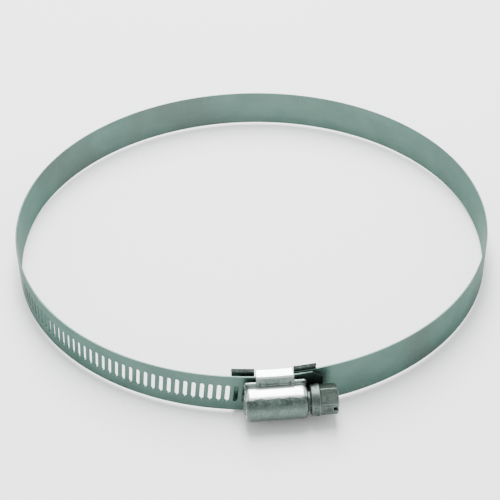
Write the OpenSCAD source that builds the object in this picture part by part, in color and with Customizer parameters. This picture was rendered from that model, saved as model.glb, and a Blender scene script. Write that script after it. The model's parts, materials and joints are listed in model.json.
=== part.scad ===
// Worm-drive hose clamp: a slotted band drawn round a hose by a captive worm screw.
// The origin is the hose's centre at half the band's width, +Z lies along the hose,
// the housing sits towards -Y and the screw's head points to +X.
// Millimetres.

/* [Hose] */
// Diameter of the hose inside the clamp as drawn
hose_d = 152.4; // [120:0.1:240]

/* [Band] */
// Width of the band
band_w = 12.7; // [11:0.1:17]
// Thickness of the band
band_t = 0.6; // [0.5:0.05:0.8]
// Length of the band's free end that stands out beyond the housing
tail_out = 5; // [4:0.5:12]
// Length of the free end's tapered tip
tail_taper = 3; // [1:0.5:4]
// How far the tip's taper cuts into each edge
tail_cut = 2.2; // [0.5:0.1:4]

/* [Slots] */
// Distance from one slot to the next, which is the thread's pitch
pitch = 2.44; // [2.2:0.02:3]
// Width of a slot along the band
slot_w = 1.2; // [1.1:0.05:1.4]
// Length of a slot across the band
slot_l = 6; // [5.5:0.1:8]

/* [Screw] */
// Diameter over the thread
thread_d = 8.3; // [7:0.1:10]
// Depth that the thread reaches into the slots
bite = 0.35; // [0.2:0.05:0.5]
// Height of the thread above its core
thread_h = 1.1; // [0.8:0.1:1.5]
// Width of the thread's crest
crest_w = 0.5; // [0.4:0.05:0.6]
// Slope of the thread's flanks
flank = 20; // [10:1:25]
// Diameter of the two journals that run in the housing
journal_d = 5.8; // [4:0.1:6]
// Thickness of the collar
collar_t = 2.75; // [1:0.05:4]
// How far the collar stands out beyond the hexagon's corners
collar_step = 0.15; // [0.1:0.05:0.5]
// Height of the hexagon
hex_h = 5; // [4:0.05:8]
// Width of the screwdriver slot
driver_w = 1.3; // [0.8:0.1:2]
// Depth of the screwdriver slot
driver_h = 1.6; // [1.2:0.1:4]
// Angle at which the screw rests
head_turn = 5; // [0:1:59]

/* [Housing] */
// Length of the dome over the screw
housing_l = 17.5; // [14:0.1:26]
// Length of the strap that holds the housing to the saddle
strap_l = 10.8; // [9:0.1:20]
// Thickness of the housing's sheet
housing_t = 0.65; // [0.6:0.05:1.2]
// Height of the flanges that stand along the dome beside the strap
flange_h = 1.95; // [1:0.05:3]
// How far the flanges stand out beyond the strap
flange_out = 0.3; // [0.1:0.05:0.4]
// Length of the strap's tabs under the saddle
tab_l = 3.5; // [2:0.1:4.5]

/* [Saddle] */
// Length of the saddle along the band
saddle_l = 24; // [20:0.5:40]
// Thickness of the saddle
saddle_t = 0.6; // [0.4:0.05:1]
// Height of the saddle's side guides above its plate
guide_h = 1; // [0.8:0.1:3]

/* [Clearances] */
// Room on each face of the band's inner end, between the saddle and the slotted run
channel_play = 0.5; // [0.4:0.05:0.9]
// Room beside each edge of the band
side_gap = 0.2; // [0.1:0.05:0.5]
// Room between the housing and the face of the slotted run
lip_gap = 0.4; // [0.3:0.05:0.6]
// Room between the thread and the dome
dome_gap = 0.12; // [0.1:0.02:0.4]
// Radial room of the journals
run_gap = 0.06; // [0.02:0.01:0.1]
// Room between the screw's head and the band that runs under it
head_gap = 0.1; // [0.05:0.05:0.5]
// Room between the housing's end and the collar
collar_gap = 0.75; // [0.3:0.05:2]
// End room of the screw in the housing
end_gap = 0.1; // [0.05:0.05:0.3]
// Room between two neighbouring links of the band
link_gap = 0.14; // [0.1:0.02:0.3]
// Room beside the strap's tabs in the saddle's notches
tab_gap = 0.1; // [0.05:0.05:0.3]

/* [Hidden] */
$fn = 180;

// Joins overlap by this much, and cutters reach this far past what they cut
over = 0.2;
reach = 5;

// The band's rings: every run of it bends to the same radius about its own centre
hose_r = hose_d / 2;
bend_r = hose_r + band_t / 2;
degree = 180 / (PI * bend_r);          // degrees of band for one millimetre along it

// Layers at the housing, counted outwards from the hose
saddle_top = hose_r + saddle_t;
inner_drop = saddle_top + channel_play + band_t / 2 - bend_r;
outer_drop = inner_drop + band_t + channel_play;
strip_top = bend_r + outer_drop + band_t / 2;
lip_r = strip_top + lip_gap;

// Where the runs begin and end, as angles round the clamp with the housing at -90
housing_a = -90;
link_a = 30;
strip_a = -180 + link_a / 2;
inner_a = -link_a / 2;
tail_tip_a = housing_a + (housing_l / 2 + tail_out) * degree;
seam_a = housing_a + 2 * degree;

// Slots, the two middle ones half a pitch to either side of the screw's middle
slot_a = pitch * degree;
slot_edge = 2.5;                       // plain band left beyond the last slot
slots_left = floor(((housing_a - strip_a) / degree - slot_edge) / pitch + 0.5);
slots_right = floor((housing_l / 2 + tail_out - tail_taper - slot_edge) / pitch + 0.5);

// Screw
thread_r = thread_d / 2;
core_r = thread_r - thread_h;
axis_r = strip_top + thread_r - bite;
slot_tilt = atan(pitch / (2 * PI * (thread_r - bite / 2)));
body_l = housing_l - 2 * housing_t - 2 * end_gap;
thread_end = 0.4;                      // plain core left beyond each end of the thread
thread_l = body_l - 2 * thread_end;
thread_start = 0.1;                    // height of the thread's ridge where it begins
journal_r = journal_d / 2;
collar_x = housing_l / 2 + collar_gap;
hex_x = collar_x + collar_t;
head_end = hex_x + hex_h;
chamfer = 0.5;

// The radius that clears the band at a distance x along the screw, where the band falls away
function clear_r(x) = axis_r - strip_top + x * x / (2 * bend_r) - head_gap;
hex_r = clear_r(hex_x - chamfer) - collar_step;
hex_af = 2 * hex_r * cos(30);

// Dome
dome_in = thread_r + dome_gap;
dome_out = dome_in + housing_t;

// Flanges, which rise from the dome's wall
flange_in = lip_r + flange_out;
flange_root = sqrt(pow(dome_in, 2) - pow(axis_r - flange_in - housing_t, 2)) + over / 2;
flange_top = flange_root + flange_h;

// Height of the strap's underside and of the saddle's side guides over mid width
edge_z = band_w / 2 + side_gap;
strap_z = edge_z + housing_t;
saddle_z = edge_z + saddle_t;
notch_z = strap_z - tab_l;

band_steel = [0.60, 0.66, 0.63];
housing_steel = [0.78, 0.81, 0.79];
screw_steel = [0.42, 0.46, 0.44];
saddle_steel = [0.50, 0.55, 0.53];

// A band of sheet between two angles, t thick from radius r, between heights z0 and z1
module sheet_arc(r, t, a0, a1, z0, z1) {
    rotate([0, 0, a0])
        rotate_extrude(angle = a1 - a0)
            translate([r, z0])
                square([t, z1 - z0]);
}

// One run of the band about its own centre
module band_run(a0, a1, r = bend_r) {
    sheet_arc(r - band_t / 2, band_t, a0, a1, -band_w / 2, band_w / 2);
}

// Places a flat outline across the band at angle a, its x across and its y along the band
module through_band(a) {
    rotate([0, 0, a])
        translate([bend_r - reach / 2, 0, 0])
            rotate([0, 90, 0])
                linear_extrude(reach)
                    children();
}

// A slot with round ends, leaning with the thread
module slot_outline() {
    straight = slot_l - slot_w;
    rotate(-slot_tilt) {
        square([straight, slot_w], center = true);
        for (side = [-1, 1])
            translate([side * straight / 2, 0])
                circle(d = slot_w, $fn = 32);
    }
}

// What tapers the free end, at both of its corners
module tail_corners() {
    for (side = [-1, 1])
        polygon([[side * (band_w / 2 + over), -tail_taper - over],
            [side * (band_w / 2 + over), over], [side * (band_w / 2 - tail_cut - over), over]]);
}

// The slotted run and its free end, which the screw draws through the housing
module band_tail() {
    color(band_steel)
        translate([0, -outer_drop, 0])
            difference() {
                band_run(strip_a + link_gap / 2 * degree, tail_tip_a);
                for (i = [1 - slots_left : slots_right])
                    through_band(housing_a + (i - 0.5) * slot_a) slot_outline();
                through_band(tail_tip_a) tail_corners();
            }
}

// A run that eases from the housing's circle, which lies lower, to the hose's circle
module easing_run(a0, a1, ring_a, drop) {
    ease_r = bend_r + drop / (2 * sin(link_a / 2));
    translate((bend_r - ease_r) * [cos(ring_a), sin(ring_a), 0])
        band_run(a0, a1, ease_r);
}

// One flexing link of the band, numbered from the slotted run round to the housing
module band_link(i) {
    trim = link_gap / 2 * degree;
    from_a = 180 + link_a / 2 - i * link_a;
    to_a = from_a + link_a;
    color(band_steel)
        if (i == 1)
            easing_run(from_a + trim, to_a - trim, 180 - link_a / 2, outer_drop);
        else if (from_a >= -inner_a - 0.01)
            band_run(from_a + trim, to_a - trim);
        else if (i == 7)
            easing_run(from_a + trim, to_a - trim, -inner_a, inner_drop);
        else if (i == 8)
            translate([0, -inner_drop, 0]) band_run(from_a + trim, to_a - trim);
        else
            translate([0, -inner_drop, 0]) band_run(seam_a, to_a - trim);
}

// Puts the screw's axis, which is local z, along +X outside the slotted run
module on_screw_axis() {
    translate([0, -axis_r, 0])
        rotate([0, 90, 0])
            children();
}

// The saddle lies on the hose under the housing; its four side guides steer the band
module saddle() {
    half_a = saddle_l / 2 * degree;
    notch_a = (strap_l / 2 + tab_gap) * degree;
    guide_r = 0.8 * guide_h;
    color(saddle_steel)
        difference() {
            union() {
                sheet_arc(hose_r, saddle_t, housing_a - half_a, housing_a + half_a,
                    -saddle_z, saddle_z);
                for (side = [-1, 1])
                    sheet_arc(hose_r, saddle_t + guide_h, housing_a - half_a,
                        housing_a + half_a, side * (edge_z + saddle_t / 2) - saddle_t / 2,
                        side * (edge_z + saddle_t / 2) + saddle_t / 2);
            }
            for (side = [-1, 1])
                sheet_arc(hose_r - reach, saddle_t + guide_h + 2 * reach,
                    housing_a - notch_a, housing_a + notch_a,
                    side > 0 ? notch_z : -saddle_z - over, side > 0 ? saddle_z + over : -notch_z);
            guide_corners(half_a, guide_r);
        }
}

// What rounds the guides' outer corners, seen along the hose
module guide_corners(half_a, guide_r) {
    top_r = saddle_top + guide_h;
    for (side = [-1, 1])
        rotate([0, 0, housing_a + side * half_a])
            translate([top_r - guide_r, -side * guide_r, 0])
                difference() {
                    translate([(guide_r + over) / 2, side * (guide_r + over) / 2, 0])
                        cube([guide_r + over, guide_r + over, 2 * saddle_z + over],
                            center = true);
                    cylinder(r = guide_r, h = 2 * saddle_z + 2 * over, center = true, $fn = 64);
                }
}

// Half of the strap's section: wall, turn over the band's edge, and tab under the saddle
module strap_section() {
    translate([lip_r, notch_z])
        square([housing_t, tab_l]);
    translate([hose_r, edge_z])
        square([lip_r + housing_t - hose_r, housing_t]);
    translate([hose_r, notch_z])
        square([saddle_t, tab_l]);
}

// A flange beside the strap, seen from the front
module flange_outline() {
    near = strap_l / 2 - over;
    far = housing_l / 2;
    polygon([[near, flange_root], [far, flange_root], [far, flange_top - chamfer],
        [far - chamfer, flange_top], [near, flange_top]]);
}

// The housing: a dome over the screw with a lip at each end, four flanges along its edges,
// and a strap round the channel
module housing() {
    half_a = strap_l / 2 * degree;
    color(housing_steel)
        union() {
            difference() {
                on_screw_axis() {
                    difference() {
                        cylinder(r = dome_out, h = housing_l, center = true);
                        cylinder(r = dome_in, h = housing_l - 2 * housing_t, center = true);
                        cylinder(r = journal_r + run_gap, h = housing_l + reach, center = true,
                            $fn = 96);
                    }
                }
                translate([0, -lip_r + dome_out, 0])
                    cube([housing_l + reach, 2 * dome_out, 2 * dome_out + reach], center = true);
            }
            for (end = [0, 1], flip = [0, 1])
                mirror([end, 0, 0])
                    mirror([0, 0, flip])
                        translate([0, -flange_in, 0])
                            rotate([90, 0, 0])
                                linear_extrude(housing_t)
                                    flange_outline();
            for (flip = [0, 1])
                mirror([0, 0, flip])
                    rotate([0, 0, housing_a - half_a])
                        rotate_extrude(angle = 2 * half_a)
                            strap_section();
        }
}

// One ring of the thread's section at turn angle a: root, crest, crest, root
function thread_ring(a, x, r) =
    let (root_w = crest_w + 2 * (r - core_r) * tan(flank), in_r = core_r - over)
    [for (p = [[in_r, -root_w / 2], [r, -crest_w / 2], [r, crest_w / 2], [in_r, root_w / 2]])
        [-p[0] * sin(a), p[0] * cos(a), x + p[1]]];

// The worm thread, right-handed, running out into the core at both ends
module thread() {
    steps = 30;
    runout = 150;
    last_a = thread_l / 2 / pitch * 360;
    count = ceil(2 * last_a / 360 * steps);
    rings = [for (i = [0 : count])
        let (a = -last_a + 2 * last_a * i / count,
            rise = min(1, (last_a - abs(a)) / runout))
        thread_ring(a, pitch * a / 360,
            core_r + thread_start + (thread_h - thread_start) * rise)];
    points = [for (ring = rings) for (p = ring) p];
    sides = [for (i = [0 : count - 1]) for (j = [0 : 3])
        let (a = 4 * i + j, b = 4 * i + (j + 1) % 4)
        for (f = [[a, b, a + 4], [b, b + 4, a + 4]]) f];
    polyhedron(points, concat([[0, 3, 2, 1]], sides,
        [[for (j = [0 : 3]) 4 * count + j]]));
}

// The screw: worm, two journals, collar and slotted hexagon head
module screw() {
    color(screw_steel)
        on_screw_axis()
            difference() {
                union() {
                    rotate(180) thread();
                    cylinder(r = core_r, h = body_l, center = true);
                    translate([0, 0, -housing_l / 2 - chamfer])
                        cylinder(r = journal_r, h = housing_l / 2 + collar_x + chamfer + over,
                            $fn = 96);
                    collar();
                    translate([0, 0, hex_x - over]) head();
                }
                rotate([0, 0, head_turn])
                    translate([0, 0, head_end - driver_h / 2 + over / 2])
                        cube([driver_w, 2 * hex_r + over, driver_h + over], center = true);
            }
}

// The collar, widening outwards as the band falls away under it
module collar() {
    rotate_extrude()
        polygon([[0, collar_x], [clear_r(collar_x), collar_x],
            [hex_r + collar_step, hex_x - chamfer], [hex_r + collar_step / 2, hex_x],
            [0, hex_x]]);
}

// The hexagon with its outer end chamfered
module head() {
    h = hex_h + over;
    end_r = hex_af / 2 - over / 2;
    intersection() {
        rotate([0, 0, head_turn])
            linear_extrude(h)
                circle(r = hex_r, $fn = 6);
        rotate_extrude()
            polygon([[0, -over], [hex_r + over, -over], [hex_r + over, h - chamfer - over / 2],
                [end_r, h], [0, h]]);
    }
}

saddle();
housing();
screw();
band_tail();
band_link(1);  // band_link_01
band_link(2);  // band_link_02
band_link(3);  // band_link_03
band_link(4);  // band_link_04
band_link(5);  // band_link_05
band_link(6);  // band_link_06
band_link(7);  // band_link_07
band_link(8);  // band_link_08
band_link(9);  // band_link_09
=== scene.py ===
import json
import math

import bmesh
import bpy
from mathutils import Matrix, Vector


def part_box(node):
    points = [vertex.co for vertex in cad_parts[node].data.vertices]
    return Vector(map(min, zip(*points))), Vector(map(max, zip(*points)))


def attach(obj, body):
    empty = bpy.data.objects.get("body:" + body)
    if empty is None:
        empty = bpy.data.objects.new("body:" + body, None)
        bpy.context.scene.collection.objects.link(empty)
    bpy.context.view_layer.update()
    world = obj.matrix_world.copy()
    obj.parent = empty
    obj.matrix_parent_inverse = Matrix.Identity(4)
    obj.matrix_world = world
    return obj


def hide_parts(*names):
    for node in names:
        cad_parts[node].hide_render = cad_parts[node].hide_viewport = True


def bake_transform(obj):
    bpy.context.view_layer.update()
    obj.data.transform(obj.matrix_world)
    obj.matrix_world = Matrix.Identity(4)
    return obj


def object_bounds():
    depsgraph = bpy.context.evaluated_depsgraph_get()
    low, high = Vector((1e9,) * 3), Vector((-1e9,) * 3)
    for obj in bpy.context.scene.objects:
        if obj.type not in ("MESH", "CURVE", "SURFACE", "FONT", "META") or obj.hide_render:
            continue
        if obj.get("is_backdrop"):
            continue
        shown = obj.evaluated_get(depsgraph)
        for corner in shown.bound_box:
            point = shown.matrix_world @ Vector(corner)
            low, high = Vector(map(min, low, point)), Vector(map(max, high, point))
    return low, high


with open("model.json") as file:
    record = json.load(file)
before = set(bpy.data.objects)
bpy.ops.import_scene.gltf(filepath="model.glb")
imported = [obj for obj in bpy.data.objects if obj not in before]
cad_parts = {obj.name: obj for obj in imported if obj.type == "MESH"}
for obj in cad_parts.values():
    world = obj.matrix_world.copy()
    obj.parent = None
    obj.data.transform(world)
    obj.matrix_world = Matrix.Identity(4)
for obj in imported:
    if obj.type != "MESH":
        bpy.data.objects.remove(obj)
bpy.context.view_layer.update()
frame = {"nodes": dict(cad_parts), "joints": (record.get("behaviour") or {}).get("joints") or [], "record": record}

bl_info = {
    "name": "Worm-drive hose clamp",
    "version": (1, 0, 0),
    "blender": (4, 5, 0),
    "location": "3D View > Sidebar > Clamp",
    "description": "Builds a slotted-band hose clamp with its housing, saddle and worm screw",
    "category": "Mesh",
}

MM = 0.001


# ---------------------------------------------------------------- sizes read from the frame

def joint(name):
    """The frame's joint of that name."""
    return next(j for j in frame["joints"] if j["name"] == name)


def mount(name):
    """The record's mount of that name."""
    return next(m for m in frame["record"]["mounts"] if m["name"] == name)


def coupling(name):
    """How far a joint turns for one radian of the band's draw."""
    rows = frame["record"]["behaviour"]["couplings"]
    return next(c for c in rows if c["joint"] == name)["ratio"]


LINKS = sorted(n for n in frame["nodes"] if n.startswith("band_link_"))
HINGES = [Vector(joint(f"band_flex_{i + 1:02d}")["pos_m"]).xy for i in range(len(LINKS))]
LINK_ANGLE = 30.0                                   # degrees of the ring that one link covers
HOUSING_ANGLE = -90.0
FIRST_HINGE = -180.0 + LINK_ANGLE / 2
SEAM_LEAD = 0.4                                     # the slotted run ends just before the hinge

HOSE_R = mount("hose_bore")["dims"]["r_mm"] * MM
BAND_W = 2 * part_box("band_link_04")[1].z
RING_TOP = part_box("band_link_04")[1].y
BAND_T = RING_TOP - HOSE_R
BEND_R = (RING_TOP + HOSE_R) / 2
STRIP_CENTRE = Vector(joint("band_draw")["pos_m"]).xy
STRIP_TOP = BEND_R + BAND_T / 2 - STRIP_CENTRE.y     # outer face of the slotted run at the screw
PITCH = BEND_R * 2 * math.pi / coupling("screw_turn")
AXIS_R = -joint("screw_turn")["pos_m"][1]            # the screw's axis, outwards from the centre
HEAD_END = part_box("screw")[1].x
JOURNAL_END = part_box("screw")[0].x
HOUSING_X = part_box("housing")[1].x
DOME_R = -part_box("housing")[0].y - AXIS_R
STRAP_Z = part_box("housing")[1].z
SADDLE_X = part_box("saddle")[1].x
SADDLE_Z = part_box("saddle")[1].z


# ---------------------------------------------------------------- properties

def millimetres(name, description, value):
    """A length property, given in millimetres and kept in metres."""
    return bpy.props.FloatProperty(
        name=name, description=description, default=value * MM, unit="LENGTH", precision=5)


def paint(name, description, value):
    """A colour property."""
    return bpy.props.FloatVectorProperty(
        name=name, description=description, default=value, subtype="COLOR", size=3,
        min=0.0, max=1.0)


class ClampBandProps(bpy.types.PropertyGroup):
    slot_w: millimetres("Slot width", "Width of a slot along the band", 1.2)
    slot_l: millimetres("Slot length", "Length of a slot across the band", 6.0)
    slot_edge: millimetres("Slot edge", "Plain band left beyond the last slot", 2.5)
    edge: millimetres("Rolled edge", "Size of the band's eased long edges", 0.1)
    tip_taper: millimetres("Tip taper", "Length of the free end's taper", 3.0)
    tip_cut: millimetres("Tip cut", "How far the taper cuts into each edge", 2.2)
    grey: paint("Grey stretches", "Colour of the greyer stretches", (0.078, 0.104, 0.093))
    # This colour is painted shade over the free end, where it runs past the housing towards the screw head.
    tip_shade: paint("Tip colour", "Colour of the stained free end", (0.030, 0.040, 0.034))
    colour: paint("Band colour", "Base colour of the rolled strip", (0.085, 0.143, 0.123))


class ClampHousingProps(bpy.types.PropertyGroup):
    sheet: millimetres("Sheet", "Thickness of the housing's sheet", 0.65)
    lip_gap: millimetres("Lip gap", "Room between the housing and the slotted run", 0.4)
    bore_r: millimetres("Journal bore", "Radius of the bores the journals run in", 2.96)
    strap_l: millimetres("Strap length", "Length of the strap along the band", 10.8)
    neck: millimetres("Neck", "How much narrower the strap is where it turns over", 0.5)
    bend: millimetres("Bend", "Outer radius of the strap's turns", 0.72)
    tab_l: millimetres("Tab length", "Length of the tabs folded under the saddle", 3.5)
    shoulder: millimetres("Shoulder", "Rounding of the dome's two ends", 1.4)
    flange_h: millimetres("Flange height", "Height of the flanges beside the strap", 1.95)
    flange_out: millimetres("Flange offset", "How far the flanges stand out of the strap", 0.3)
    colour: paint("Housing colour", "Base colour of the pressed sheet", (0.66, 0.73, 0.70))
    # This colour is the painted shade over the dome's front and underside and over the strap's front face.
    dull: paint("Dull", "Colour of the dull metal round the dome", (0.098, 0.135, 0.118))
    # This colour darkens random spots. It also deepens the painted shade in a band just below the dome's
    # highlight.
    stain: paint("Stain", "Colour of the dark patches", (0.036, 0.054, 0.046))


class ClampSaddleProps(bpy.types.PropertyGroup):
    sheet: millimetres("Sheet", "Thickness of the saddle", 0.6)
    tab_gap: millimetres("Tab gap", "Room beside the strap's tabs in the notches", 0.1)
    colour: paint("Saddle colour", "Base colour of the saddle", (0.095, 0.150, 0.130))
    # This colour darkens random patches. It is also the painted shade along the tops of the guides.
    stain: paint("Stain", "Colour of the dull patches", (0.010, 0.013, 0.011))


class ClampScrewProps(bpy.types.PropertyGroup):
    thread_r: millimetres("Thread radius", "Radius over the thread", 4.15)
    thread_h: millimetres("Thread height", "Height of the thread above its core", 1.1)
    crest_w: millimetres("Crest width", "Width of the thread's crest", 0.5)
    journal_r: millimetres("Journal", "Radius of the two journals", 2.9)
    collar_t: millimetres("Collar", "Thickness of the collar", 2.75)
    collar_in: millimetres("Collar inner radius", "Radius of the collar next to the dome", 4.3)
    collar_out: millimetres("Collar outer radius", "Radius of the collar at the hexagon", 4.6)
    hex_af: millimetres("Hexagon", "Hexagon across its flats", 7.71)
    hex_h: millimetres("Hexagon height", "Height of the hexagon", 5.0)
    driver_w: millimetres("Driver slot width", "Width of the screwdriver slot", 1.3)
    driver_h: millimetres("Driver slot depth", "Depth of the screwdriver slot", 1.6)
    head_turn: bpy.props.FloatProperty(
        name="Head turn", description="Angle at which the head rests",
        default=math.radians(5), subtype="ANGLE")
    colour: paint("Screw colour", "Base colour of the plated screw", (0.088, 0.112, 0.100))
    stain: paint("Stain", "Colour of the dull patches", (0.030, 0.042, 0.037))


class ClampStageProps(bpy.types.PropertyGroup):
    floor: paint("Floor", "Colour of the floor", (0.95, 0.96, 0.96))
    key: bpy.props.FloatProperty(
        name="Key light", description="Power of the long overhead light", default=27.0)
    sky: bpy.props.FloatProperty(
        name="Sky", description="Strength of the even surrounding light", default=1.3)


# ---------------------------------------------------------------- shader maths

class Wire:
    """A shader socket that can be used in Python arithmetic; each operation adds a Math node."""

    def __init__(self, shader, socket):
        self.shader = shader
        self.socket = socket

    def maths(self, operation, *others):
        """A Math node with this value first."""
        return self.shader.node("ShaderNodeMath", {"operation": operation}, [self, *others])

    def __add__(self, other):
        return self.maths("ADD", other)

    def __radd__(self, other):
        return self.maths("ADD", other)

    def __sub__(self, other):
        return self.maths("SUBTRACT", other)

    def __mul__(self, other):
        return self.maths("MULTIPLY", other)

    def __rmul__(self, other):
        return self.maths("MULTIPLY", other)

    def clamped(self):
        """The value held between 0 and 1."""
        return self.maths("MINIMUM", 1.0).maths("MAXIMUM", 0.0)

    def step(self, low, high):
        """0 at low, 1 at high and smooth between."""
        settings = {"interpolation_type": "SMOOTHSTEP"}
        return self.shader.node("ShaderNodeMapRange", settings, [self, low, high, 0.0, 1.0])


class Shader:
    """A material's node tree with one Principled shader."""

    def __init__(self, name):
        self.material = bpy.data.materials.new(name)
        self.material.use_nodes = True
        self.tree = self.material.node_tree
        self.principled = self.tree.nodes["Principled BSDF"]

    def node(self, kind, settings=None, values=(), output=0):
        """Adds a node: its settings first, then the values or links of its sockets."""
        made = self.tree.nodes.new(kind)
        for key, value in (settings or {}).items():
            setattr(made, key, value)
        named = values.items() if isinstance(values, dict) else enumerate(values)
        for key, value in named:
            self.plug(made.inputs[key], value)
        return Wire(self, made.outputs[output])

    def plug(self, socket, value):
        """Links a wire to the socket, or sets the socket's own value."""
        if isinstance(value, Wire):
            self.tree.links.new(value.socket, socket)
        else:
            socket.default_value = value

    def set(self, **values):
        """Sets the Principled shader's sockets, by name with _ for a space."""
        for key, value in values.items():
            self.plug(self.principled.inputs[key.replace("_", " ")], value)
        return self.material

    def place(self):
        """Position on the object, in millimetres."""
        where = self.node("ShaderNodeTexCoord", output=OBJECT_PLACE)
        return self.scaled(where, (1000, 1000, 1000))

    def scaled(self, vector, by):
        """A vector stretched along its three parts."""
        return self.node("ShaderNodeVectorMath", {"operation": "MULTIPLY"}, [vector, by])

    def parts(self, vector):
        """The three parts of a vector."""
        split = self.tree.nodes.new("ShaderNodeSeparateXYZ")
        self.plug(split.inputs[0], vector)
        return [Wire(self, out) for out in split.outputs]

    def vector(self, x, y, z):
        """A vector from its three parts."""
        return self.node("ShaderNodeCombineXYZ", {}, [x, y, z])

    def noise(self, vector, scale, detail=3.0, rough=0.55):
        """Cloudy noise between 0 and 1; scale is cells to the millimetre."""
        return self.node("ShaderNodeTexNoise", {},
                         {"Vector": vector, "Scale": scale, "Detail": detail,
                          "Roughness": rough})

    def mix(self, share, first, second):
        """A colour that goes from first at 0 to second at 1."""
        made = self.tree.nodes.new("ShaderNodeMix")
        made.data_type = "RGBA"
        for index, value in ((0, share), (6, first), (7, second)):
            if isinstance(value, tuple):
                value = (*value, 1.0)
            self.plug(made.inputs[index], value)
        return Wire(self, made.outputs[2])

    def bump(self, height, strength, distance):
        """A normal tilted by a height map."""
        return self.node("ShaderNodeBump", {},
                         {"Strength": strength, "Distance": distance, "Height": height})


def shade(colour, factor):
    """A colour made lighter or darker."""
    return tuple(min(1.0, c * factor) for c in colour)


EDGE_TINT = (0.50, 0.59, 0.56, 1.0)                  # dull strip stays dark at a glancing angle
OBJECT_PLACE = 3                                     # Texture Coordinate's Object output
POINTINESS = 7                                       # Geometry's Pointiness output


def along_band(shader):
    """Millimetres along the ring, across it, and outwards, for grain that follows the band."""
    x, y, z = shader.parts(shader.place())
    turn = y.maths("ARCTAN2", x)
    out = (x * x + y * y).maths("SQRT")
    return shader.vector(turn * (BEND_R / MM), z, out)


def rolled_strip(colour, grey, tip_shade):
    """Satin rolled strip: grain, mottling and light scratches, greyer stretches, and mottled painted shade over
    the free end past the housing.
    """
    s = Shader("band_steel_with_painted_tip_shade")
    run = along_band(s)
    grain = s.noise(s.scaled(run, (0.05, 5.0, 0.5)), 1.0, 4.0, 0.6)
    mottle = s.noise(s.scaled(run, (0.10, 0.16, 0.1)), 1.0, 3.0, 0.5)
    specks = s.noise(s.scaled(run, (0.9, 1.2, 1.0)), 1.0, 2.0, 0.5).step(0.60, 0.72)
    scratch = s.noise(s.scaled(run, (1.6, 0.07, 0.5)), 1.0, 1.0, 0.5).step(0.665, 0.70)
    broad = s.noise(s.scaled(run, (0.024, 0.020, 0.020)), 1.0, 2.0, 0.5)
    tone = s.mix(mottle.step(0.32, 0.68), shade(colour, 0.90), shade(colour, 1.08))
    tone = s.mix(broad.step(0.46, 0.58) * 0.85, tone, grey)
    tone = s.mix(grain.step(0.35, 0.70) * 0.35, tone, shade(colour, 1.16))
    tone = s.mix(specks * 0.20, tone, shade(colour, 0.78))
    tone = s.mix(scratch * 0.25, tone, shade(colour, 1.30))
    # Painted shade, mottled, on the free end: outer picks the band's outer layer, tip the stretch past the
    # housing.
    outer = s.parts(run)[2].step((STRIP_TOP - 1.5 * BAND_T) / MM, (STRIP_TOP - BAND_T) / MM)
    tip = s.parts(s.place())[0].step(HOUSING_X / MM - 2.5, HOUSING_X / MM + 1.0) * outer
    tone = s.mix(tip * (0.62 + mottle * 0.5), tone, tip_shade)
    rough = 0.36 + mottle * 0.08 + grain * 0.08 + specks * 0.06
    height = grain * 0.5 + scratch * 0.4
    return s.set(Base_Color=tone, Metallic=0.95, Roughness=rough, Specular_Tint=EDGE_TINT,
                 Normal=s.bump(height, 0.12, 0.00003))


def pressed_sheet(colour, stain):
    """The saddle's sheet: satin and mottled, with painted shade along the tops of its guides."""
    s = Shader("saddle_steel_with_painted_shade")
    spot = s.place()
    cloud = s.noise(spot, 0.32, 4.0, 0.62)
    fine = s.noise(spot, 1.7, 3.0, 0.6)
    drawn = s.noise(s.scaled(spot, (0.25, 2.6, 2.6)), 1.0, 3.0, 0.55)
    height = s.parts(spot)[2].maths("ABSOLUTE")
    # Painted shade along the tops of the guides.
    rim = height.step(SADDLE_Z / MM - 0.30, SADDLE_Z / MM - 0.08)
    patches = (cloud * 0.7 + fine * 0.3).step(0.42, 0.62)
    mask = (patches * 0.30 + rim * (0.75 + fine * 0.3)).clamped()
    tone = s.mix(mask, colour, stain)
    tone = s.mix(drawn.step(0.45, 0.75) * 0.10, tone, shade(colour, 1.15))
    dents = cloud * 0.8 + fine * 0.3 + drawn * 0.15
    return s.set(Base_Color=tone, Metallic=0.96,
                 Roughness=0.34 + mask * 0.16 + fine * 0.08,
                 Normal=s.bump(dents, 0.25, 0.00008))


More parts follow.
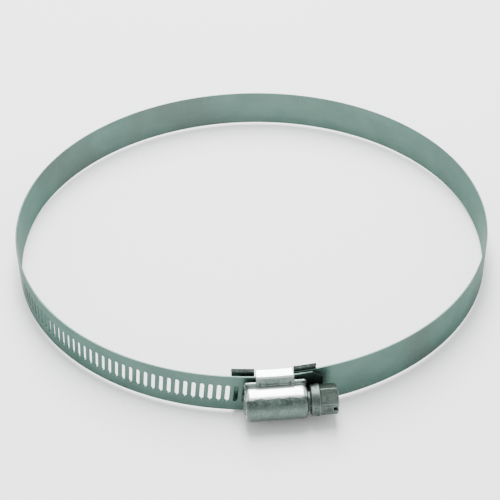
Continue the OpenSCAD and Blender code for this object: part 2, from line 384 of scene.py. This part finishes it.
def domed_sheet(colour, dull, stain):
    """The housing's sheet: its own bright colour where it faces up, and mottled painted shade round the dome's
    front and on the strap's front face.
    """
    s = Shader("housing_steel_with_painted_shade")
    spot = s.place()
    x, y, z = s.parts(spot)
    cloud = s.noise(spot, 0.42, 5.0, 0.66)
    fine = s.noise(spot, 1.5, 4.0, 0.65)
    drawn = s.noise(s.scaled(spot, (0.22, 2.4, 2.4)), 1.0, 3.0, 0.55)
    out = -1.0 * y - AXIS_R / MM                     # outwards from the screw's axis
    turn = z.maths("ARCTAN2", out) * (180 / math.pi) + (cloud - 0.5) * 30.0
    radius = (out * out + z * z).maths("SQRT")
    # Painted shade: front picks the dome's surface that faces forwards and down, below its top. The top keeps the
    # sheet's bright colour.
    front = turn.step(64.0, 55.0) * radius.step(DOME_R / MM - 1.2, DOME_R / MM - 0.5)
    # Painted shade on the strap's front face, below its turn over the band.
    below_turn = z.maths("ABSOLUTE").step(STRAP_Z / MM - 0.25, STRAP_Z / MM - 0.65)
    strap = below_turn * out.step(-1.0, -2.2)
    end = x.maths("ABSOLUTE").step(HOUSING_X / MM - 1.6, HOUSING_X / MM - 0.2)
    spots = (fine * 0.55 + cloud * 0.45).step(0.42, 0.60)
    # upper deepens the painted shade in a band just below the dome's highlight.
    upper = turn.step(22.0, 50.0) * front
    shade_with_spots = s.mix(spots * (0.25 + upper * 0.65), dull, stain)
    # The mask lays the painted shade over the dome's front and the strap's front face. Spots darken the dome's
    # ends and the whole sheet.
    mask = (front * 0.97 + strap * 0.72 + end * spots * 0.25 + spots * 0.14).clamped()
    tone = s.mix(mask, colour, shade_with_spots)
    tone = s.mix(drawn.step(0.50, 0.78) * 0.16, tone, dull)
    dents = cloud * 0.9 + fine * 0.30 + drawn * 0.2
    return s.set(Base_Color=tone, Metallic=0.96,
                 Roughness=0.20 + mask * 0.18 + fine * 0.05,
                 Normal=s.bump(dents, 0.30, 0.0001))


def worn_head(colour, stain):
    """Dull plating on the screw, rubbed paler along the edges of the collar and the hexagon."""
    s = Shader("screw_steel_finish")
    spot = s.place()
    cloud = s.noise(spot, 0.55, 4.0, 0.62)
    fine = s.noise(spot, 2.6, 3.0, 0.6)
    edges = s.node("ShaderNodeNewGeometry", output=POINTINESS).step(0.501, 0.53)
    mask = (cloud * 0.6 + fine * 0.4).step(0.40, 0.62)
    tone = s.mix(mask * 0.85, colour, stain)
    tone = s.mix(edges * 0.55 * (0.4 + fine), tone, shade(colour, 2.4))
    pits = cloud * 0.7 + fine * 0.5
    return s.set(Base_Color=tone, Metallic=0.95,
                 Roughness=0.32 + mask * 0.16 + fine * 0.08,
                 Normal=s.bump(pits, 0.30, 0.00009))


# ---------------------------------------------------------------- meshes

def tell_smooth(mesh, limit=32.0):
    """Shades smooth, with edges sharper than limit degrees left crisp."""
    work = bmesh.new()
    work.from_mesh(mesh)
    for face in work.faces:
        face.smooth = True
    for edge in work.edges:
        edge.smooth = edge.calc_face_angle(math.pi) < math.radians(limit)
    work.to_mesh(mesh)
    work.free()


def shown(name, mesh, material, nodes, body=None):
    """A finished piece: its object, material, record slot, the nodes it stands for, its body."""
    piece = bpy.data.objects.new(name, mesh)
    bpy.context.scene.collection.objects.link(piece)
    mesh.materials.append(material)
    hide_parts(*nodes)
    if body:
        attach(piece, body)
    return piece


class Patchwork:
    """Grids of points welded into one closed mesh."""

    def __init__(self):
        self.work = bmesh.new()

    def grid(self, rows):
        """rows is a list of rows of points; neighbours are joined by quads."""
        made = [[self.work.verts.new(p) for p in row] for row in rows]
        for upper, lower in zip(made, made[1:]):
            for i in range(len(upper) - 1):
                self.work.faces.new((upper[i], upper[i + 1], lower[i + 1], lower[i]))

    def mesh(self, name):
        bmesh.ops.remove_doubles(self.work, verts=self.work.verts, dist=2e-6)
        bmesh.ops.recalc_face_normals(self.work, faces=self.work.faces)
        mesh = bpy.data.meshes.new(name)
        self.work.to_mesh(mesh)
        self.work.free()
        tell_smooth(mesh)
        return mesh


def ray(degrees):
    """A unit vector in the ring's plane."""
    return Vector((math.cos(math.radians(degrees)), math.sin(math.radians(degrees))))


def band_line(angle):
    """Centre and radius of the band's run at a running angle, which falls from the free end."""
    if angle >= FIRST_HINGE:
        return STRIP_CENTRE, BEND_R
    index = min(int((FIRST_HINGE - angle) / LINK_ANGLE), len(LINKS) - 1)
    here = HINGES[index]
    start = FIRST_HINGE - index * LINK_ANGLE
    if index == len(LINKS) - 1:
        return here - BEND_R * ray(start), BEND_R
    end = start - LINK_ANGLE
    radius = (here - HINGES[index + 1]).length / (ray(start) - ray(end)).length
    return here - radius * ray(start), radius


def band_point(angle, out, z):
    """A point of the band: running angle, distance outwards from mid thickness, height."""
    centre, radius = band_line(angle)
    return (*(centre + (radius + out) * ray(angle)), z)


class BandMesh(Patchwork):
    """Stretches of band made of grids over its faces and edges."""

    ROWS = 12                                        # quads across the band's width

    def __init__(self, edge, outline=None):
        super().__init__()
        self.edge = edge
        self.outline = outline or (lambda angle: BAND_W / 2)

    def across(self, angle):
        half = self.outline(angle) - self.edge
        return [half * (2 * k / self.ROWS - 1) for k in range(self.ROWS + 1)]

    def faces(self, angles):
        """Outer and inner face, and both long edges, along these angles."""
        for side in (1, -1):
            self.grid([[band_point(a, side * BAND_T / 2, z) for z in self.across(a)]
                       for a in angles])
        self.edges(angles)

    def edges(self, angles):
        for side in (1, -1):
            rows = []
            for a in angles:
                z = self.outline(a)
                t, e = BAND_T / 2, self.edge
                section = [(t, z - e), (t - e, z), (e - t, z), (-t, z - e)]
                rows.append([band_point(a, out, side * height) for out, height in section])
            self.grid(rows)

    def cap(self, angle):
        """Closes the band's end at this angle."""
        t, e, z = BAND_T / 2, self.edge, self.outline(angle)
        self.grid([[band_point(angle, side * t, h) for h in self.across(angle)]
                   for side in (-1, 1)])
        for side in (-1, 1):
            self.grid([[band_point(angle, -t, side * (z - e)),
                        band_point(angle, t, side * (z - e))],
                       [band_point(angle, e - t, side * z),
                        band_point(angle, t - e, side * z)]])

    def cell(self, middle, slot_w, slot_l, lean):
        """One pitch of band with a slot through it; middle is the slot's running angle."""
        step = math.degrees(PITCH / BEND_R)
        top = 8
        half = self.across(middle)[-1]
        rim = 0.05 * MM
        straight = (slot_l - slot_w) / 2

        def outer():
            for k in range(top):
                yield (k / top - 0.5) * step, half
            for k in range(self.ROWS):
                yield 0.5 * step, half * (1 - 2 * k / self.ROWS)
            for k in range(top):
                yield (0.5 - k / top) * step, -half
            for k in range(self.ROWS):
                yield -0.5 * step, half * (2 * k / self.ROWS - 1)

        def slot(grow):
            r = slot_w / 2 + grow
            flat = [(r * math.cos(math.pi * (1 - k / top)), straight
                     + r * math.sin(math.pi * (1 - k / top))) for k in range(top)]
            flat += [(r, straight * (1 - 2 * k / self.ROWS)) for k in range(self.ROWS)]
            flat += [(-x, -y) for x, y in flat]
            c, s = math.cos(lean), math.sin(lean)
            for x, y in flat:
                yield math.degrees((x * c + y * s) / BEND_R), y * c - x * s

        def loop(points, out):
            ring = [band_point(middle + a, out, z) for a, z in points]
            return ring + ring[:1]

        t = BAND_T / 2
        between = [[tuple(p + (q - p) * f for p, q in zip(o, i))
                    for o, i in zip(outer(), slot(rim))] for f in (0.0, 0.35, 0.7)]
        for side in (1, -1):
            self.grid([loop(points, side * t) for points in between]
                      + [loop(slot(rim), side * t), loop(slot(0), side * (t - rim))])
        self.grid([loop(slot(0), t - rim), loop(slot(0), rim - t)])
        self.edges([middle + (k / top - 0.5) * step for k in range(top + 1)])


def spread(start, end, step):
    """Values from start to end, no further apart than step."""
    count = max(1, math.ceil(abs(end - start) / step))
    return [start + (end - start) * k / count for k in range(count + 1)]


def solid(points, faces):
    """A closed solid from points and faces."""
    work = bmesh.new()
    made = [work.verts.new(p) for p in points]
    for face in faces:
        work.faces.new([made[i] for i in face])
    bmesh.ops.recalc_face_normals(work, faces=work.faces)
    return work


def tube_of(sections):
    """A closed solid from a row of equal outlines."""
    count = len(sections[0])
    points = [p for outline in sections for p in outline]
    faces = [tuple(range(count)), tuple(range(len(points) - count, len(points)))]
    for k in range(len(sections) - 1):
        for i in range(count):
            j = (i + 1) % count
            faces.append((k * count + i, k * count + j, (k + 1) * count + j,
                          (k + 1) * count + i))
    return solid(points, faces)


def circles(profile, steps=96):
    """Circles of points about the screw's axis, from (x, radius) pairs."""
    angles = [2 * math.pi * k / steps for k in range(steps)]
    return [[(x, -AXIS_R + r * math.cos(q), r * math.sin(q)) for q in angles]
            for x, r in profile]


def turned(profile):
    """A solid of revolution about the screw's axis whose outline stays off the axis."""
    rows = circles(profile)
    steps, count = len(rows[0]), len(rows)
    points = [p for row in rows for p in row]
    faces = []
    for i in range(count):
        j = (i + 1) % count
        for k in range(steps):
            m = (k + 1) % steps
            faces.append((i * steps + k, i * steps + m, j * steps + m, j * steps + k))
    return solid(points, faces)


def rod(profile):
    """A solid of revolution about the screw's axis that reaches the axis at both ends."""
    return tube_of(circles(profile))


def block(low, high):
    """A box between two corners."""
    points = [(x, y, z) for x in (low[0], high[0]) for y in (low[1], high[1])
              for z in (low[2], high[2])]
    return solid(points, [(0, 1, 3, 2), (4, 6, 7, 5), (0, 4, 5, 1), (2, 3, 7, 6),
                          (0, 2, 6, 4), (1, 5, 7, 3)])


def sheet_arc(inner, outer, low, high, half, steps=40):
    """Part of a ring round the hose at the housing: radii, heights and half length."""
    sections = []
    for x in spread(-half, half, 2 * half / steps):
        d = ray(HOUSING_ANGLE + math.degrees(x / BEND_R))
        sections.append([(*(r * d), z) for r, z in
                         ((inner, low), (outer, low), (outer, high), (inner, high))])
    return tube_of(sections)


def to_object(work, name):
    mesh = bpy.data.meshes.new(name)
    work.to_mesh(mesh)
    work.free()
    made = bpy.data.objects.new(name, mesh)
    bpy.context.scene.collection.objects.link(made)
    return made


def baked(thing):
    """The object's mesh with its modifiers applied; the object itself is removed."""
    graph = bpy.context.evaluated_depsgraph_get()
    mesh = bpy.data.meshes.new_from_object(thing.evaluated_get(graph))
    bpy.data.objects.remove(thing)
    return mesh


def join(works):
    """Several solids in one."""
    total = bmesh.new()
    for work in works:
        mesh = bpy.data.meshes.new("part")
        work.to_mesh(mesh)
        work.free()
        total.from_mesh(mesh)
        bpy.data.meshes.remove(mesh)
    return total


def cut_from(thing, cutters, how="DIFFERENCE"):
    """Takes the cutters out of a solid, one at a time, or keeps what they share."""
    for work in cutters:
        tool = to_object(work, "cutter")
        cut = thing.modifiers.new("cut", "BOOLEAN")
        cut.object = tool
        cut.operation = how
        mesh = baked(thing)
        bpy.data.objects.remove(tool)
        thing = bpy.data.objects.new("solid", mesh)
        bpy.context.scene.collection.objects.link(thing)
    return thing


def formed(name, solids, voxel, passes):
    """Fuses overlapping solids into one skin with softly rounded edges."""
    thing = to_object(join(solids), name)
    fuse = thing.modifiers.new("fuse", "REMESH")
    fuse.mode = "VOXEL"
    fuse.voxel_size = voxel
    fuse.use_smooth_shade = True
    ease = thing.modifiers.new("ease", "SMOOTH")
    ease.factor = 0.5
    ease.iterations = passes
    mesh = baked(thing)
    mesh.name = name
    return mesh


# ---------------------------------------------------------------- operators

class CLAMP_OT_band(bpy.types.Operator):
    """Build the band: the slotted run with its free end, and the plain run in one piece for each link"""
    bl_idname = "clamp.band"
    bl_label = "Band"

    def execute(self, context):
        props = context.scene.clamp_band
        material = rolled_strip(tuple(props.colour), tuple(props.grey), tuple(props.tip_shade))
        self.slotted_run(props, material)
        for i in range(len(LINKS)):
            self.flexing_run(props, material, i)
        return {"FINISHED"}

    def slotted_run(self, props, material):
        tip_x, tip_y = self.tip()
        tip = math.degrees(math.atan2(tip_y - STRIP_CENTRE.y, tip_x - STRIP_CENTRE.x))
        step = math.degrees(PITCH / BEND_R)
        plain = math.degrees(props.slot_edge / BEND_R)
        left = int((HOUSING_ANGLE - FIRST_HINGE - plain) / step + 0.5)
        end = math.degrees(props.tip_taper / BEND_R) + plain
        right = int((tip - HOUSING_ANGLE - end) / step + 0.5)
        taper = math.degrees(props.tip_taper / BEND_R)

        def outline(angle):
            share = max(0.0, (angle - (tip - taper)) / taper)
            return BAND_W / 2 - props.tip_cut * share

        strip = BandMesh(props.edge, outline)
        lean = math.atan(PITCH / (2 * math.pi * (AXIS_R - STRIP_TOP)))
        for k in range(1 - left, right + 1):
            strip.cell(HOUSING_ANGLE + (k - 0.5) * step, props.slot_w, props.slot_l, lean)
        last = HOUSING_ANGLE + right * step
        strip.faces(spread(last, tip - taper, 0.3) + spread(tip - taper, tip, 0.3)[1:])
        strip.faces(spread(HOUSING_ANGLE - left * step, self.seam(0), 0.3))
        strip.cap(tip)
        strip.cap(self.seam(0))
        shown("band_slotted_run", strip.mesh("band_slotted_run"), material,
              ["band_tail"], "band_tail")

    def tip(self):
        """Mid-thickness point of the CAD free end, from its furthest corner."""
        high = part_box("band_tail")[1]
        out = BEND_R + BAND_T / 2
        x = high.x * BEND_R / out
        return x, STRIP_CENTRE.y - math.sqrt(BEND_R ** 2 - x ** 2)

    def seam(self, i):
        """Running angle of the joint between two pieces of band, in the middle of link i."""
        if i == 0:
            return FIRST_HINGE + SEAM_LEAD
        if i == len(LINKS):
            end_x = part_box(LINKS[-1])[0].x
            return HOUSING_ANGLE - 360 + math.degrees(math.asin(end_x / BEND_R))
        return FIRST_HINGE - (i - 0.5) * LINK_ANGLE

    def flexing_run(self, props, material, i):
        hinge = FIRST_HINGE - i * LINK_ANGLE
        start, end = self.seam(i), self.seam(i + 1)
        run = BandMesh(props.edge)
        run.faces(spread(start, end, 0.35))
        run.cap(start)
        run.cap(end)
        name = f"band_run_{i + 1:02d}"
        piece = shown(name, run.mesh(name), material, [LINKS[i]])
        last = i == len(LINKS) - 1               # the free end lies close over this bend
        reach = LINK_ANGLE / 8 if last else LINK_ANGLE / 2 - 1.5
        first = max(hinge - reach, min(hinge + reach, start - 0.2))
        band_point(first, 0, 0)
        band_point(hinge - reach, 0, 0)
        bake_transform(piece)


class CLAMP_OT_housing(bpy.types.Operator):
    """Build the housing: dome, end lips and the strap round the channel"""
    bl_idname = "clamp.housing"
    bl_label = "Housing"

    def execute(self, context):
        props = context.scene.clamp_housing
        lip = STRIP_TOP + props.lip_gap
        parts = [self.dome(props, lip)]
        for side in (1, -1):
            parts.append(self.flange(props, lip, 1, side))
            parts.append(self.flange(props, lip, -1, side))
            parts.append(self.strap(props, lip, side))
            parts.append(self.flare(props, lip, side))
        mesh = formed("housing_shell", parts, 0.13 * MM, 5)
        material = domed_sheet(tuple(props.colour), tuple(props.dull), tuple(props.stain))
        shown("housing_shell", mesh, material, ["housing"], "root")
        return {"FINISHED"}

    def dome(self, props, lip):
        """The barrel round the screw with rounded ends and the journals' bores."""
        t, soft = props.sheet, props.shoulder
        inside, wall = DOME_R - t, HOUSING_X - t
        arc = [(HOUSING_X - soft + soft * math.sin(q), DOME_R - soft + soft * math.cos(q))
               for q in [math.pi / 2 * k / 8 for k in range(9)]]
        half = arc + [(HOUSING_X, props.bore_r), (wall, props.bore_r),
                      (wall, inside - 0.5 * MM), (wall - 0.5 * MM, inside)]
        profile = half + [(-x, r) for x, r in reversed(half)]
        dome = to_object(turned(profile), "dome")
        far = 2 * HOUSING_X
        dome = cut_from(dome, [block((-far, -lip, -far), (far, 0, far))])
        shell = bmesh.new()
        shell.from_mesh(dome.data)
        bpy.data.objects.remove(dome)
        return shell

    def flange(self, props, lip, end, side):
        """A flat flange along the dome's edge beside the strap, with a rounded corner."""
        corner, overlap = 0.7 * MM, 1 * MM
        inner = lip + props.flange_out
        outer = inner + props.sheet
        reach = AXIS_R - outer
        low = math.sqrt((DOME_R - props.sheet) ** 2 - reach ** 2) + 0.1 * MM
        high = low + props.flange_h
        outline = [(props.strap_l / 2 - overlap, low), (HOUSING_X, low)]
        for k in range(7):
            q = math.pi / 2 * k / 6
            outline.append((HOUSING_X - corner + corner * math.cos(q),
                            high - corner + corner * math.sin(q)))
        outline.append((props.strap_l / 2 - overlap, high))
        return tube_of([[(end * x, -out, side * z) for x, z in outline]
                        for out in (inner, outer)])

    def strap(self, props, lip, side):
        """The strap's wall, its turn over the band's edge and the tab under the saddle."""
        t, r = props.sheet, props.bend
        foot = 3.4 * MM                                  # the wall's foot, inside the dome

        def path(inset, corner):
            inner, outer = HOSE_R + inset, lip + t - inset
            top = STRAP_Z - inset
            line = [(inner, STRAP_Z - props.tab_l)]
            for centre, start in (((inner + corner, top - corner), math.pi),
                                  ((outer - corner, top - corner), math.pi / 2)):
                for k in range(7):
                    q = start - math.pi / 2 * k / 6
                    line.append((centre[0] + corner * math.cos(q),
                                 centre[1] + corner * math.sin(q)))
            return line + [(outer, foot)]

        section = path(0.0, r) + list(reversed(path(t, r - t)))
        half = props.strap_l / 2 - props.neck / 2
        sections = []
        for x in spread(-half, half, 0.5 * MM):
            d = ray(HOUSING_ANGLE + math.degrees(x / BEND_R))
            sections.append([(*(q * d), side * z) for q, z in section])
        return tube_of(sections)

    def flare(self, props, lip, side):
        """The strap's foot, which widens into the dome and the flanges."""
        neck = -props.neck / 2 / MM
        curve = [(3.2, 1.5), (3.9, 1.1), (4.6, 0.5), (5.3, 0.1), (6.1, neck)]   # height, width
        sections = []
        for height, wider in curve:
            half, z = props.strap_l / 2 + wider * MM, height * MM
            sections.append([(x, -out, side * z) for x, out in
                             ((-half, lip), (half, lip), (half, lip + props.sheet),
                              (-half, lip + props.sheet))])
        return tube_of(sections)


class CLAMP_OT_saddle(bpy.types.Operator):
    """Build the saddle that lies on the hose, with its side guides"""
    bl_idname = "clamp.saddle"
    bl_label = "Saddle"

    def execute(self, context):
        props = context.scene.clamp_saddle
        house = context.scene.clamp_housing
        t = props.sheet
        half = SADDLE_X
        notch = house.strap_l / 2 + props.tab_gap
        inner_z = STRAP_Z - house.tab_l
        parts = [self.plate(-half, half, -inner_z, inner_z, t)]
        for end in (1, -1):
            near, far = sorted((end * notch, end * half))
            parts.append(self.plate(near, far, -SADDLE_Z, SADDLE_Z, t))
            for side in (1, -1):
                low, high = sorted((side * (SADDLE_Z - t), side * SADDLE_Z))
                parts.append(self.guide(end, notch, half, low, high, t))
        mesh = formed("saddle_plate", parts, 0.11 * MM, 3)
        material = pressed_sheet(tuple(props.colour), tuple(props.stain))
        shown("saddle_plate", mesh, material, ["saddle"], "root")
        return {"FINISHED"}

    def plate(self, start, end, low, high, t):
        """Part of the plate, bent round the hose."""
        sections = []
        for x in spread(start, end, 0.5 * MM):
            d = ray(HOUSING_ANGLE + math.degrees(x / BEND_R))
            sections.append([(*(r * d), z) for r, z in
                             ((HOSE_R, low), (HOSE_R + t, low), (HOSE_R + t, high),
                              (HOSE_R, high))])
        return tube_of(sections)

    def guide(self, end, near, far, low, high, t):
        """One side guide; its outer corner is rounded over nearly its whole height."""
        top = -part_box("saddle")[0].y
        corner = 0.95 * (top - HOSE_R - t)
        sections = []
        for x in spread(near, far, 0.25 * MM):
            into = max(0.0, x - (far - corner))
            r = top - corner + math.sqrt(max(0.0, corner ** 2 - into ** 2))
            d = ray(HOUSING_ANGLE + math.degrees(end * x / BEND_R))
            sections.append([(*(q * d), z) for q, z in
                             ((HOSE_R, low), (r, low), (r, high), (HOSE_R, high))])
        return tube_of(sections)


class CLAMP_OT_screw(bpy.types.Operator):
    """Build the screw: worm thread, journals, collar and slotted hexagon head"""
    bl_idname = "clamp.screw"
    bl_label = "Screw"

    def execute(self, context):
        props = context.scene.clamp_screw
        hex_x = HEAD_END - props.hex_h
        collar_x = hex_x - props.collar_t
        core = props.thread_r - props.thread_h
        end_gap, run_out, ease = 0.1 * MM, 0.4 * MM, 0.3 * MM
        body = HOUSING_X - context.scene.clamp_housing.sheet - end_gap
        parts = [
            rod([(-body, core), (body, core)]),
            rod([(JOURNAL_END, props.journal_r - ease), (JOURNAL_END + ease, props.journal_r),
                 (collar_x + ease, props.journal_r)]),
            rod([(collar_x, props.collar_in - ease), (collar_x + ease, props.collar_in),
                 (hex_x - 2 * ease, props.collar_out), (hex_x - ease, props.collar_out),
                 (hex_x, props.collar_out - ease)]),
            self.thread(props, core, body - run_out),
            self.head(props, hex_x),
        ]
        mesh = formed("worm_screw", parts, 0.10 * MM, 3)
        material = worn_head(tuple(props.colour), tuple(props.stain))
        shown("worm_screw", mesh, material, ["screw"], "screw")
        return {"FINISHED"}

    def around(self, x, r, angle):
        """A point at an angle round the screw, which turns from -Z towards +Y."""
        return (x, -AXIS_R + r * math.sin(angle), -r * math.cos(angle))

    def head(self, props, hex_x):
        """The hexagon, chamfered at its end, with the screwdriver slot cut across it."""
        flat = props.hex_af / 2
        point = flat / math.cos(math.radians(30))
        chamfer, far, overlap = 0.5 * MM, 1 * MM, 0.2 * MM
        prism = [[self.around(x, point, props.head_turn + math.radians(60 * k))
                  for k in range(6)] for x in (hex_x - overlap, HEAD_END)]
        thing = to_object(tube_of(prism), "head")
        cone = rod([(hex_x - far, point + far), (HEAD_END - 2 * chamfer, point + far),
                    (HEAD_END - chamfer, point), (HEAD_END, flat - 0.1 * MM)])
        thing = cut_from(thing, [cone], "INTERSECT")
        half, reach = props.driver_w / 2, point + far
        slot = block((HEAD_END - props.driver_h, -reach, -half),
                     (HEAD_END + far, reach, half))
        bmesh.ops.rotate(slot, verts=slot.verts, cent=(0, 0, 0),
                         matrix=Matrix.Rotation(props.head_turn, 3, "X"))
        bmesh.ops.translate(slot, verts=slot.verts, vec=(0, -AXIS_R, 0))
        thing = cut_from(thing, [slot])
        work = bmesh.new()
        work.from_mesh(thing.data)
        bpy.data.objects.remove(thing)
        return work

    def thread(self, props, core, half):
        """The worm thread: a ridge that climbs one pitch a turn and runs out at both ends."""
        steps = 36                                       # sections in half a turn
        run_in, flank = math.radians(150), math.radians(20)
        last = 2 * math.pi * half / PITCH
        count = math.ceil(last / math.pi * steps)
        start, root = 0.1 * MM, core - 0.3 * MM
        sections = []
        for k in range(count + 1):
            turn = -last + 2 * last * k / count
            rise = min(1.0, (last - abs(turn)) / run_in)
            top = core + start + (props.thread_h - start) * rise
            foot = props.crest_w / 2 + (top - core) * math.tan(flank)
            crest = props.crest_w / 2
            x = PITCH * turn / (2 * math.pi)
            sections.append([
                (x + dx, -AXIS_R - r * math.cos(turn), -r * math.sin(turn))
                for dx, r in ((-foot, root), (-crest, top), (crest, top), (foot, root))])
        return tube_of(sections)


class CLAMP_OT_stage(bpy.types.Operator):
    """Set up the camera, the pale floor and the soft light"""
    bl_idname = "clamp.stage"
    bl_label = "Stage"

    def execute(self, context):
        props = context.scene.clamp_stage
        self.camera(context)
        self.floor(props)
        self.lights(context, props)
        return {"FINISHED"}

    def camera(self, context):
        """Looks down at the ring from the front, a little round towards the slots."""
        elevation, distance = math.radians(36.588), 0.40539
        swing, pan, tilt, roll = (math.radians(a) for a in (-4.17, 0.081, -1.089, 1.124))
        back = Vector((0, -math.cos(elevation), math.sin(elevation)))
        ahead, right = -back, Vector((1, 0, 0))
        up = right.cross(ahead)
        pan_m = Matrix.Rotation(pan, 3, up)
        ahead, right = pan_m @ ahead, pan_m @ right
        tilt_m = Matrix.Rotation(tilt, 3, right)
        ahead, up = tilt_m @ ahead, tilt_m @ up
        roll_m = Matrix.Rotation(roll, 3, ahead)
        right, up = roll_m @ right, roll_m @ up
        turn = Matrix.Rotation(swing, 3, "Z")
        right, up, ahead, spot = (turn @ v for v in (right, up, ahead, back * distance))
        data = bpy.data.cameras.new("camera")
        data.sensor_width = 36.0
        data.lens = 87.614
        data.clip_start, data.clip_end = 0.01, 20.0
        camera = bpy.data.objects.new("camera", data)
        context.scene.collection.objects.link(camera)
        rotation = Matrix((right, up, -ahead)).transposed()
        camera.matrix_world = Matrix.Translation(spot) @ rotation.to_4x4()
        context.scene.camera = camera

    def floor(self, props):
        work = bmesh.new()
        bmesh.ops.create_grid(work, x_segments=1, y_segments=1, size=6.0)
        floor = to_object(work, "floor")
        floor.location.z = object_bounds()[0].z
        s = Shader("floor_paint")
        floor.data.materials.append(
            s.set(Base_Color=(*props.floor, 1.0), Roughness=0.7))
        floor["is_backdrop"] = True

    def lights(self, context, props):
        world = bpy.data.worlds.new("sky")
        context.scene.world = world
        world.use_nodes = True
        back = world.node_tree.nodes["Background"]
        back.inputs["Color"].default_value = (1.0, 1.0, 1.0, 1.0)
        back.inputs["Strength"].default_value = props.sky
        self.panel(context, "key", (0.0, 0.40, 0.80), (0.38, 1.15), props.key)

    def panel(self, context, name, spot, size, power):
        """A flat light that faces the ring."""
        data = bpy.data.lights.new(name, "AREA")
        data.shape = "RECTANGLE"
        data.energy = power
        data.size, data.size_y = size
        lamp = bpy.data.objects.new(name, data)
        context.scene.collection.objects.link(lamp)
        lamp.location = spot
        lamp.rotation_mode = "QUATERNION"
        lamp.rotation_quaternion = Vector(spot).to_track_quat("Z", "Y")


class CLAMP_PT_panel(bpy.types.Panel):
    """The clamp's tools in the sidebar"""
    bl_label = "Hose clamp"
    bl_space_type = "VIEW_3D"
    bl_region_type = "UI"
    bl_category = "Clamp"

    def draw(self, context):
        for name, group in PROPERTIES.items():
            box = self.layout.box()
            box.label(text=name.replace("_", " "))
            for key in group.__annotations__:
                box.prop(getattr(context.scene, name), key)
        for operator in OPERATORS:
            self.layout.operator(operator.bl_idname)


PROPERTIES = {
    "clamp_band": ClampBandProps,
    "clamp_housing": ClampHousingProps,
    "clamp_saddle": ClampSaddleProps,
    "clamp_screw": ClampScrewProps,
    "clamp_stage": ClampStageProps,
}
OPERATORS = (CLAMP_OT_stage, CLAMP_OT_band, CLAMP_OT_housing, CLAMP_OT_saddle,
             CLAMP_OT_screw)


def register():
    for cls in (*PROPERTIES.values(), *OPERATORS, CLAMP_PT_panel):
        bpy.utils.register_class(cls)
    for name, group in PROPERTIES.items():
        setattr(bpy.types.Scene, name, bpy.props.PointerProperty(type=group))


def unregister():
    for name in PROPERTIES:
        delattr(bpy.types.Scene, name)
    for cls in reversed((*PROPERTIES.values(), *OPERATORS, CLAMP_PT_panel)):
        bpy.utils.unregister_class(cls)


def main():
    register()
    bpy.ops.clamp.stage()
    bpy.ops.clamp.band()
    bpy.ops.clamp.housing()
    bpy.ops.clamp.saddle()
    bpy.ops.clamp.screw()


if __name__ == "__main__":
    main()
